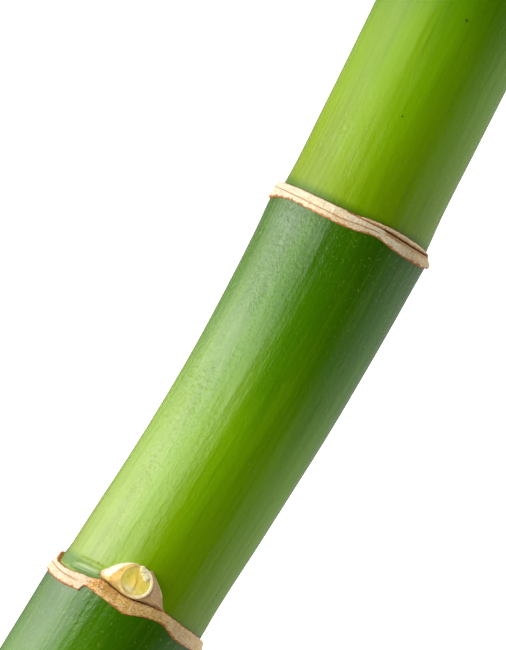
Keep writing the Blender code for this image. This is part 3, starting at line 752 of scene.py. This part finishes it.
def make_collar(name, node, lines, counts, grooves, sides, tones_at, material, seed):
    """The dry base of a fallen sheath.

    A groove is (line, first angle, last angle, depth, half width, darkness): how dark its crease is painted,
    brown grime in the shallow creases and painted shade in the deep slit.
    Sides says, for +Y and for -Y, how far the collar swells there and how far its upper edge sinks.
    """
    degrees = np.arange(COLLAR_COLUMNS) * 360 / COLLAR_COLUMNS - 180
    levels = [round_the_cane(line, degrees) for line in lines]
    levels[0] = levels[0] + notches(seed, degrees, 2.2 * MM, 0.045 * MM)
    levels[-1] = levels[-1] + notches(seed + 5, degrees, 4.0 * MM, 0.04 * MM)
    offset = band_rows(levels, counts)
    low, high = offset[0], offset[-1]
    share = 2 * (offset - low) / (high - low) - 1
    depth = curve_through(COLLAR_SECTION, share) * MM
    crease = np.zeros_like(offset)
    for line, first, last, deep, half, grime_and_shade in grooves:
        fade = plateau(degrees, first, first + 8, last - 8, last)
        line_depth = bell(offset, levels[line], half * MM) * fade
        depth = depth + deep * MM * line_depth
        crease = np.maximum(crease, line_depth * grime_and_shade)
    turn = np.radians(degrees)[None, :]
    sine = np.sin(turn)
    swelling, sinking = (np.where(sine < 0, left, right) * MM for left, right in zip(*sides))
    beside = plateau(np.abs(degrees), 40, 75, 110, 145)
    depth = depth + sinking * beside * ease(-0.5, 0.6, share)
    place = (COLLAR_RADIUS * sine, COLLAR_RADIUS * np.cos(turn), offset)
    coarse = ripple(seed + 2, place, (5 * MM, 5 * MM, 5 * MM)) * 0.05
    fine = ripple(seed + 3, place, (1.2 * MM, 1.2 * MM, 4 * MM)) * 0.03
    worn = 1 - ease(UNDERSIDE_HALF_ANGLE, 1.5 * UNDERSIDE_HALF_ANGLE, 180 - np.abs(degrees))
    flat = worn * (np.abs(share) < 0.9)
    depth = (depth + (coarse + fine + 0.06) * MM) * (1 - flat)
    radius = COLLAR_RADIUS - np.maximum(depth, 0) + swelling * sine**2 * (1 - worn)
    radius = np.maximum(radius, COLLAR_INSIDE + COLLAR_THINNEST)

    under = np.linspace(1, 0, 6)[:, None]
    under_offset = low + (high - low) * under
    all_offset = np.vstack([offset, under_offset])
    all_radius = np.vstack([radius, np.full_like(under_offset, COLLAR_INSIDE)])
    across, up = round_axis(degrees[None, :], all_radius)
    points = laid(node + all_offset, across, up)
    points[..., 2] = np.maximum(points[..., 2], 0.0)
    fill = np.zeros_like(under_offset)
    tones = {tone: np.vstack([values, fill]) for tone, values in tones_at(degrees[None, :], share).items()}
    tones["straight"] = straight_place(across, up, node + all_offset)
    tones["edge"] = np.vstack([np.minimum(offset - low, 2.0 * (high - offset) + 0.2 * MM) / MM, fill])
    tones["crease"] = np.vstack([crease, fill])
    return make_piece(name, points, [material], tones, True)


def lower_tones(degrees, share):
    """The lower collar: pale on the cane's +Y side, tan under the bud, and torn where the two meet."""
    tan = ease(-34, -26, degrees) * (1 - 0.55 * ease(20, 36, degrees))
    torn = 0.8 * bell(degrees, -29, 6) * ease(-0.6, 0.3, share)
    torn = np.clip(torn + bell(degrees, -23.5, 2) * (share > -0.2), 0, 1)
    # Painted shade on the collar's +Y side.
    far = 0.55 * ease(-25, -50, degrees) + 0 * share
    brown = 0.9 * bell(degrees, -15, 8) * ease(-0.8, 0.2, share)
    return {"tan": 0.06 + 0.85 * tan + 0 * share, "tear": torn, "far": far, "brown": brown}


def upper_tones(degrees, share):
    """The upper collar: cream, with a tan flap, brown streaks under its slit that partly stand for painted
    shade, and a pale fold beside them.
    """
    low, slit, high = (round_the_cane(line, degrees) for line in (UPPER_LOW, UPPER_SLIT, UPPER_HIGH))
    above = share + 1 - 2 * (slit - low) / (high - low)
    below_slit = 1 - ease(-0.07, 0.0, above)
    lower = bell(degrees, -5, 22) * ease(0.1, -0.3, share)
    flap = ease(3, 14, degrees) * ease(0.0, 0.07, above)
    flap = flap * (1 - 0.7 * ease(0.2, 0.45, above))
    # Brown streaks under the slit: the sheath's own streaks, made darker as painted shade of the layer under
    # the slit.
    streaks = ease(21, 24, degrees) * (1 - 0.6 * ease(34, 44, degrees))
    streaks = streaks * ease(-0.55, -0.35, above) * below_slit
    fold = bell(degrees, 18.5, 2.5) * ease(-0.9, -0.4, share) * below_slit
    right = ease(30, 55, degrees) * below_slit
    tan = 0.12 + 0.4 * lower + 0.85 * flap + 0.7 * streaks + 0.2 * right - 0.6 * fold
    tear = 0.8 * ease(2, 8, degrees) * bell(above, 0.09, 0.08)
    # Painted shade on the collar's +Y side.
    far = 0.9 * ease(-20, -65, degrees) + 0 * share
    brown = np.clip(0.75 * streaks + 0.45 * right, 0, 1)
    return {"tan": np.clip(tan, 0, 1.1), "tear": tear, "far": far, "brown": brown}


def closed_curve(points, count):
    """Places, in metres, evenly numbered on the closed smooth curve through points in mm."""
    wrapped = np.array([*points[-2:], *points, *points[:3]], float) * MM
    numbers = np.arange(len(wrapped)) - 2.0
    places = np.arange(count) * len(points) / count
    return [curve_through(np.stack([numbers, wrapped[:, k]], axis=1), places) for k in (0, 1)]


def rim_width(degrees):
    """Width of the scale's rim at angles from -Y towards +X: narrow on its +Y side, by the core."""
    return RIM_WIDTH * (1 - (1 - NARROW_RIM) * plateau(degrees % 360, 90, 125, 205, 250))


def bud_top():
    """Height of the scale's top above the straight axis."""
    return culm_radius(np.array(BUD_ALONG)) + BUD_HEIGHT


def make_bud_scale(material):
    """The pointed scale. Its flanks rise from the foot to the rim, which turns in over a lip to the core.

    On the +Y side the flank is a short steep face and then a gentler one, with a ridge between them.
    """
    foot_across, foot_along = closed_curve(SCALE_FOOT, SCALE_COLUMNS)
    angle = np.arctan2(foot_along - BUD_ALONG, foot_across - BUD_ACROSS)
    turn = np.degrees(angle) % 360
    rim_across = BUD_ACROSS + RIM_ACROSS * np.cos(angle)
    rim_along = BUD_ALONG + RIM_ALONG * np.sin(angle)
    top = bud_top()
    ridged = plateau(turn, 92, 112, 255, 290)
    ridge = 0.12 + 0.4 * ease(110, 172, turn) - 0.24 * ease(198, 214, turn)
    raised = 1 - 0.85 * plateau(turn, 110, 140, 235, 275)
    fibres = ripple(21, (np.cos(angle) * 12, np.sin(angle) * 12), (3.2, 3.2), 30)
    rows = []
    shares = []
    for share in np.linspace(0, 1, 36):
        x = foot_across + (rim_across - foot_across) * share
        y = foot_along + (rim_along - foot_along) * share
        surface = np.sqrt(culm_radius(y) ** 2 - x**2)
        below = RIDGE_SHARE * share / ridge
        beyond = RIDGE_SHARE + (1 - RIDGE_SHARE) * (share - ridge) / (1 - ridge)
        stepped = curve_through(RIDGE_PROFILE, np.where(share < ridge, below, beyond))
        plain = share**1.2
        height = surface + (top - surface) * (plain + (stepped - plain) * ridged)
        lumps = ripple(22, (x, y, height), (4 * MM, 4 * MM, 4 * MM)) * 0.09 * MM
        height = height + (lumps + fibres * 0.06 * MM) * math.sin(math.pi * min(share * 1.2, 1.0))
        if share == 0:
            rows.append((y, x, height - SCALE_ROOT))
            shares.append(0.0)
        rows.append((y, x, height))
        shares.append(share)
    lip = top + ripple(23, (rim_across, rim_along), (3 * MM, 3 * MM)) * 0.04 * MM
    for inward, rise in RIM_PROFILE:
        x = rim_across - rim_width(turn) * inward * np.cos(angle)
        y = rim_along - rim_width(turn) * inward * np.sin(angle)
        rows.append((y, x, lip + np.where(rise > 0, rise * raised, rise) * MM))
        shares.append(1.0 + inward)
    along, across, up = (np.array([row[k] for row in rows]) for k in range(3))
    share = np.array(shares)[:, None] + 0 * angle
    right = (1 - ease(75, 95, turn)) + ease(300, 330, turn)
    left = plateau(turn, 95, 125, 196, 208)
    rim_side = (1 - 0.4 * bell(turn, 265, 20)) * (1 - 0.8 * plateau(turn, 100, 125, 240, 285))
    # Painted highlight: the steep face of the +Y flank, which faces the glowing wall, is later coloured
    # near-white.
    flank = left * (1 - ease(ridge * 0.85, ridge * 1.15, share))
    front = plateau(turn, 195, 215, 325, 345)
    outline = (1 - ease(0.1, 0.24, share)) * (1 - ease(60, 95, turn))
    blush = 0.6 * bell(turn, 245, 22) * bell(share, 0.85, 0.2)
    lower_right = ease(0.1, 0.5, np.cos(np.radians(turn + 20)))
    behind_rim = 0.7 * bell(share, 0.94, 0.06) * right * lower_right
    tip = bell(turn, 196, 12) * (1 - ease(0.0, 0.3, share))
    tones = {
        "straight": straight_place(across, up, along),
        "bud": np.stack([np.cos(angle) * 9 + 0 * share, np.sin(angle) * 9 + 0 * share, share * 1.2], axis=-1),
        "grey": right * (1 - ease(0.9, 1.05, share)),
        "cream": np.maximum(ease(0.93, 1.08, share) * rim_side, np.maximum(outline, blush)),
        "flank": flank,
        "torn": tip,
        "olive": 0.9 * bell(across, -5.8 * MM, 0.6 * MM) * bell(along, 7.1 * MM, 1.4 * MM),
        # Dark foot: painted shade with brown grime at the scale's front foot, and a brown line just below the
        # rim on its -Y side.
        "foot": np.maximum((1 - ease(0.0, 0.08, share)) * front, behind_rim),
    }
    return make_piece("bud_scale_grown", laid(along, across, up), [material], tones, caps=(True, False))


def make_branch_core(material):
    """The cut face of the branch inside the scale's rim: slightly dished, and raised at its +Y edge."""
    degrees = np.arange(120) * 3.0
    radius = RIM_ACROSS - rim_width(90 - degrees)
    top = bud_top()
    turn = np.radians(degrees)[None, :]
    share, drop = (np.array(column)[:, None] for column in zip(*CORE_PROFILE))
    left = ease(0.0, 0.6, -np.sin(turn + 0.35))
    spread = share * (1 + CORE_SPREAD * left * ease(0.7, 1.0, share))
    across = BUD_ACROSS + spread * radius * np.sin(turn)
    along = BUD_ALONG + spread * radius * np.cos(turn) * (RIM_ALONG / RIM_ACROSS)
    rough = ripple(31, (across, along), (1.8 * MM, 1.8 * MM)) * 0.05 * ease(0.0, 0.5, share) * (share < 0.9)
    on_top = share < 1.01
    raised = CORE_RAISED * left * ease(0.6, 0.95, share) * on_top
    up = top + (raised - drop * (1 - left * on_top) + rough) * MM
    tones = {
        "straight": straight_place(across, up, along),
        "out": share + 0 * turn,
        "side": ease(0.15, 0.75, share * np.abs(np.sin(turn))),
        "pale": bell(share * np.cos(turn), -0.75, 0.3) * bell(share * np.sin(turn), -0.3, 0.5),
        "blend": left * ease(0.85, 1.0, share),
    }
    return make_piece("branch_core_cut", laid(along, across, up), [material], tones, caps=(True, True))


def make_torn_edge(material):
    """The ragged pale chip left along the upper side of the cut core."""
    rows = 60
    columns = 30
    share = np.linspace(0, 1, rows)[:, None]
    turn = np.radians(np.arange(columns) * 360 / columns)[None, :]
    numbers = np.linspace(0, 1, len(CHIP_LINE))
    centre_across, centre_along, wide, tall = (
        curve_through(list(zip(numbers, column)), share) * MM for column in zip(*CHIP_LINE)
    )
    course = math.atan2(CHIP_LINE[-1][1] - CHIP_LINE[0][1], CHIP_LINE[-1][0] - CHIP_LINE[0][0])
    place = (share * 9 + 0 * turn, np.cos(turn) + 0 * share, np.sin(turn) + 0 * share)
    ragged = 1 + 0.26 * ripple(41, place, (1.6, 1.6, 1.6), 20) + 0.16 * ripple(42, place, (0.5, 0.5, 0.5), 20)
    top = bud_top()
    across = centre_across - wide * ragged * np.cos(turn) * math.sin(course)
    along = centre_along + wide * ragged * np.cos(turn) * math.cos(course)
    up = top + tall * ragged * np.sin(turn)
    tones = {
        "straight": straight_place(across, up, along),
        # Painted light: 1 on the chip's outer side, which is painted whitish.
        "white": ease(-0.6, 0.6, np.cos(turn)) + 0 * share,
    }
    return make_piece("torn_edge", laid(along, across, up), [material], tones, caps=(True, True))


def dress(piece, slot, *nodes):
    """Rides a piece on the cane, and hides the solids it stands for, if any. Its slot is not used."""
    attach(piece, "root")
    if nodes:
        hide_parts(*nodes)


def place_like_the_solids(pieces, culm):
    """Moves the pieces sideways so that the dressed culm's box has the solid culm's middle in X and Y."""
    low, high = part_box("culm")
    own = np.array([vertex.co for vertex in culm.data.vertices])
    middle = (own.min(axis=0) + own.max(axis=0)) / 2
    shift = Vector(((low.x + high.x) / 2 - middle[0], (low.y + high.y) / 2 - middle[1], 0))
    for piece in pieces:
        piece.data.transform(Matrix.Translation(shift))
    return shift


def make_floor():
    """A white table, lit from within so that it stays even round the cane."""
    bpy.ops.mesh.primitive_plane_add(size=9.0)
    floor = bpy.context.object
    floor.name = "white_table"
    white = Material("white_table", Roughness=0.9, Emission_Strength=2.0)
    white.shader.inputs["Base Color"].default_value = (0.3, 0.3, 0.3, 1)
    white.shader.inputs["Emission Color"].default_value = (1, 1, 1, 1)
    floor.data.materials.append(white.data)
    floor.visible_glossy = False


def make_light_wall():
    """The curved wall that glows on the cane's +Y side, seen only in reflections and as light."""
    angle = np.linspace(WALL_GLOW_ROUND[0][0], WALL_GLOW_ROUND[-1][0], 90)[:, None]
    along = np.linspace(WALL_GLOW_ALONG[0][0], WALL_GLOW_ALONG[-1][0], 161)[None, :]
    lowered = curve_through(WALL_EDGE_SHIFT, along) * (1 - ease(30, 85, angle))
    source = np.maximum(angle - lowered, WALL_GLOW_ROUND[0][0])
    glow = curve_through(WALL_GLOW_ROUND, source) * curve_through(WALL_GLOW_ALONG, along)
    turn = np.radians(angle) + 0 * along
    across, up = WALL_RADIUS * np.sin(turn), WALL_RADIUS * np.cos(turn)
    points = np.stack([along + 0 * turn, across, AXIS_HEIGHT + up], axis=-1)
    index = np.arange(glow.size).reshape(glow.shape)
    quads = np.stack([index[:-1, :-1], index[:-1, 1:], index[1:, 1:], index[1:, :-1]], axis=-1)
    mesh = bpy.data.meshes.new("light_wall")
    mesh.from_pydata(points.reshape(-1, 3), [], quads.reshape(-1, 4).tolist())
    set_tone(mesh, "glow", glow)
    material = Material("light_wall")
    emission = material.add("ShaderNodeEmission", {"Strength": material.tone("glow")})
    tree = material.tree
    tree.links.new(emission.outputs[0], tree.nodes["Material Output"].inputs["Surface"])
    mesh.materials.append(material.data)
    wall = add_object("light_wall", mesh)
    wall.visible_camera = False


def make_fill_light():
    """A soft light from above, tilted towards +Y, that lights the surfaces but isn't mirrored in them."""
    data = bpy.data.lights.new("fill", "AREA")
    data.size = FILL_SIZE
    data.energy = FILL_POWER
    light = add_object("fill", data)
    tilt = math.radians(FILL_TILT)
    light.location = (0.0, FILL_DISTANCE * math.sin(tilt), FILL_DISTANCE * math.cos(tilt))
    light.rotation_euler = (-tilt, 0.0, 0.0)
    light.visible_camera = False
    light.visible_glossy = False


def make_world():
    """A studio: white walls low down and a dark ceiling."""
    world = bpy.data.worlds.new("studio")
    bpy.context.scene.world = world
    world.use_nodes = True
    nodes, links = world.node_tree.nodes, world.node_tree.links
    place = nodes.new("ShaderNodeTexCoord")
    split = nodes.new("ShaderNodeSeparateXYZ")
    height = nodes.new("ShaderNodeMapRange")
    height.inputs["From Min"].default_value = -1.0
    ramp = nodes.new("ShaderNodeValToRGB")
    while len(ramp.color_ramp.elements) < len(WORLD_GLOW):
        ramp.color_ramp.elements.new(1.0)
    for element, (upward, glow) in zip(ramp.color_ramp.elements, WORLD_GLOW):
        element.position = (upward + 1) / 2
        element.color = (glow, glow, glow, 1)
    links.new(place.outputs["Generated"], split.inputs[0])
    links.new(split.outputs["Z"], height.inputs["Value"])
    links.new(height.outputs[0], ramp.inputs[0])
    links.new(ramp.outputs[0], nodes["Background"].inputs[0])


def make_camera(shift):
    """A camera that looks straight down, turned and placed so that both nodes fall on their pixels."""
    nodes = laid(np.array([LOWER_NODE, UPPER_NODE]), np.zeros(2), np.zeros(2)) + np.array(shift)
    lower, upper = Vector(nodes[0]), Vector(nodes[1])
    right = UPPER_NODE_PIXEL[0] - LOWER_NODE_PIXEL[0]
    up = LOWER_NODE_PIXEL[1] - UPPER_NODE_PIXEL[1]
    scale = (upper - lower).length / math.hypot(right, up)
    turn = math.atan2(upper.y - lower.y, upper.x - lower.x) - math.atan2(up, right)
    middle_right = PHOTO_WIDTH / 2 - LOWER_NODE_PIXEL[0]
    middle_up = LOWER_NODE_PIXEL[1] - PHOTO_HEIGHT / 2
    middle = lower + Matrix.Rotation(turn, 3, "Z") @ Vector((middle_right, middle_up, 0)) * scale
    data = bpy.data.cameras.new("camera")
    data.lens = LENS
    data.sensor_width = SENSOR
    camera = add_object("camera", data)
    distance = PHOTO_HEIGHT * scale * LENS / SENSOR
    camera.location = middle + Vector((0, 0, distance))
    camera.rotation_euler = (0, 0, turn)
    data.clip_end = 20.0
    bpy.context.scene.camera = camera


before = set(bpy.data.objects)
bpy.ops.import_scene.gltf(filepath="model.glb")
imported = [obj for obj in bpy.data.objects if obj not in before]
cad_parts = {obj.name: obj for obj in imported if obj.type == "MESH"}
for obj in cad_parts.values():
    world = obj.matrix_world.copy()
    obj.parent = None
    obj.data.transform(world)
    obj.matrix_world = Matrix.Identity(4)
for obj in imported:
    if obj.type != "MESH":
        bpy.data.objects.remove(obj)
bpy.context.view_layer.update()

culm = make_culm([green_skin(), cut_wood(), hollow_wall()])
lower_collar = make_collar(
    "collar_lower_dry",
    LOWER_NODE,
    (LOWER_LOW, LOWER_CREASE, LOWER_HIGH),
    (22, 18),
    ((1, -100, -34, 0.16, 0.22, 0.35),),
    ((0.3, 0.45), (0.9, 0.8)),
    lower_tones,
    dry_sheath("sheath_tan_dry", (0.8, 0.65, 0.44), (0.74, 0.44, 0.09), (0.46, 0.15, 0.03)),
    51,
)
upper_collar = make_collar(
    "collar_upper_dry",
    UPPER_NODE,
    (UPPER_LOW, UPPER_CREASE, UPPER_SLIT, UPPER_HIGH),
    (16, 14, 12),
    ((1, -95, 24, 0.12, 0.18, 0.4), (2, -12, 30, 0.3, 0.2, 0.55), (2, 18, 88, 0.8, 0.2, 1.0)),
    ((0.25, 0.18), (0.5, 1.2)),
    upper_tones,
    dry_sheath("sheath_cream_dry", (0.93, 0.8, 0.54), (0.72, 0.45, 0.18), (0.48, 0.18, 0.04)),
    61,
)
bud_scale = make_bud_scale(bud_tan())
core = make_branch_core(waxy_core())
torn_edge = make_torn_edge(torn_fibre())
shift = place_like_the_solids((culm, lower_collar, upper_collar, bud_scale, core, torn_edge), culm)

dress(culm, "culm_green", "culm")
dress(lower_collar, "sheath_tan", "sheath_collar_lower")
dress(upper_collar, "sheath_cream", "sheath_collar_upper")
dress(bud_scale, "scale_tan", "bud_scale")
dress(core, "branch_core", "branch_stub")
dress(torn_edge, "branch_core")

make_floor()
make_light_wall()
make_fill_light()
make_world()
make_camera(shift)
view = bpy.context.scene.view_settings
view.view_transform = "Standard"
view.look = "None"
